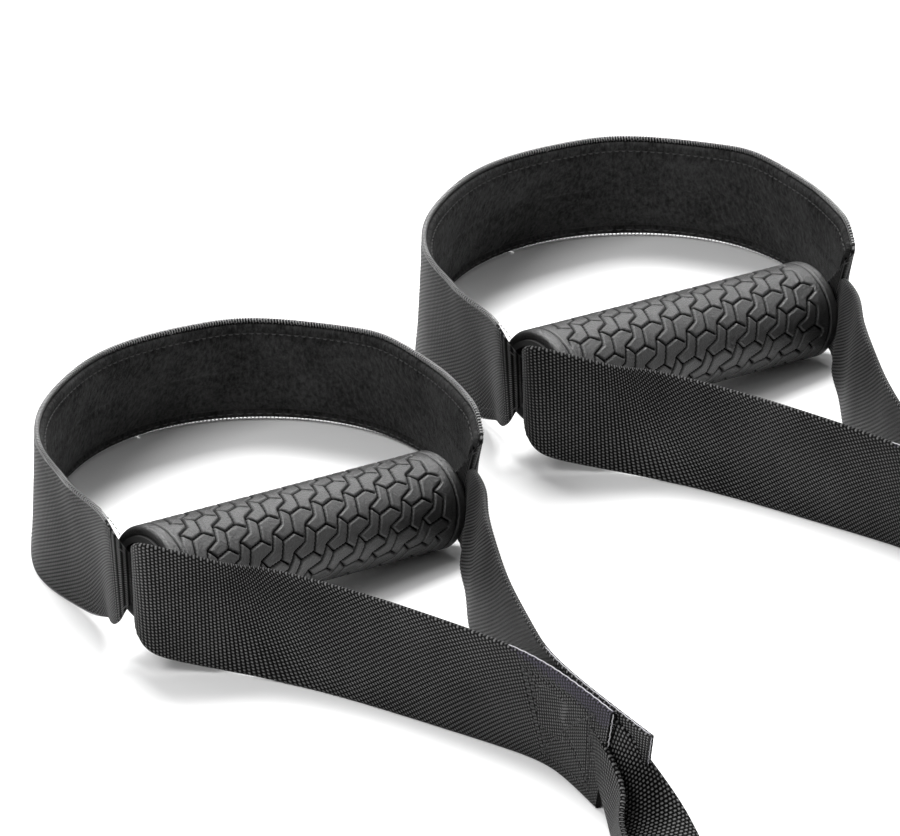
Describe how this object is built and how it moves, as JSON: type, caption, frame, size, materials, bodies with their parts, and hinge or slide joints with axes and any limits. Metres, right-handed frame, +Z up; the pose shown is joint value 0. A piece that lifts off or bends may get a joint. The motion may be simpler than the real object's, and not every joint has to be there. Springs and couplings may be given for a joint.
{
  "type": "shoulder pulley",
  "caption": "Strap pulley with rotating rubber hand grips, padded foot loops, spare webbing folded in ties, roller block, snap hook and door stop.",
  "frame": {"origin": "on the floor under the middle of the whole object as it lies", "axes": "+Z up from the floor, +X along the hand grips from the near end to the far end, +Y from the grips towards the foot loops"},
  "size_m": [0.5024, 0.5102, 0.0637],
  "materials": {
    "grip_rubber": "satin moulded rubber with sunk tile pattern",
    "core_plastic": "smooth",
    "webbing": "woven polypropylene webbing",
    "lining_fleece": "brushed fleece",
    "tie_fabric": "hook and loop tape",
    "plated_steel": "zinc plated",
    "forged_steel": "satin",
    "hook_metal": "satin",
    "spring_steel": "bright wire",
    "roller_nylon": "turned nylon",
    "bearing_brass": "sintered bush",
    "stop_foam": "closed cell foam"
  },
  "bodies": {
    "straps": {"front_grip_strap": "webbing", "front_foot_loop": "webbing", "front_loop_lining": "lining_fleece", "front_pull_strap": "webbing", "front_strap_hank": "webbing", "front_hank_tie": "tie_fabric", "rear_grip_strap": "webbing", "rear_foot_loop": "webbing", "rear_loop_lining": "lining_fleece", "rear_pull_strap": "webbing", "rear_strap_hank": "webbing", "rear_hank_tie": "tie_fabric", "roller_strap": "webbing", "block_bracket": "plated_steel", "roller_washers": "plated_steel", "axle_bolt": "plated_steel", "axle_nut": "plated_steel"},
    "front_grip": {"front_grip_sleeve": "grip_rubber", "front_core_tube": "core_plastic"},
    "rear_grip": {"rear_grip_sleeve": "grip_rubber", "rear_core_tube": "core_plastic"},
    "roller": {"block_roller": "roller_nylon", "roller_bearings": "bearing_brass"},
    "swivel": {"swivel_eye": "forged_steel", "swivel_nut": "plated_steel"},
    "hook": {"hook_body": "hook_metal", "gate_pin": "plated_steel"},
    "gate": {"hook_gate": "hook_metal", "gate_spring": "spring_steel"},
    "anchor": {"anchor_strap": "webbing", "anchor_foam": "stop_foam", "anchor_core": "core_plastic"}
  },
  "joints": [
    {"name": "front_grip_spin", "type": "hinge", "parent": "straps", "child": "front_grip", "pos_m": [-0.1724, 0.102, 0.024], "axis": [0.9936, 0, -0.1132], "continuous": true},
    {"name": "rear_grip_spin", "type": "hinge", "parent": "straps", "child": "rear_grip", "pos_m": [0.0206, 0.125, 0.024], "axis": [0.9936, 0, -0.1132], "continuous": true},
    {"name": "roller_spin", "type": "hinge", "parent": "straps", "child": "roller", "pos_m": [0.0426, -0.198, 0.03025], "axis": [0, 0, 1], "continuous": true},
    {"name": "swivel_turn", "type": "hinge", "parent": "straps", "child": "swivel", "pos_m": [0.0766, -0.198, 0.03025], "axis": [1, 0, 0], "continuous": true},
    {"name": "hook_swing", "type": "hinge", "parent": "swivel", "child": "hook", "pos_m": [0.1086, -0.198, 0.03025], "axis": [0, 1, 0], "range_deg": [-50, 50]},
    {"name": "gate_open", "type": "hinge", "parent": "hook", "child": "gate", "pos_m": [0.11829, -0.198, 0.03922], "axis": [0, 1, 0], "range_deg": [0, 24], "stiffness_Nm_per_rad": 0.2, "springref_deg": -11.46},
    {"name": "anchor_swing", "type": "hinge", "parent": "hook", "child": "anchor", "pos_m": [0.16869, -0.198, 0.02173], "axis": [0, 0, 1], "range_deg": [-20, 20]}
  ]
}
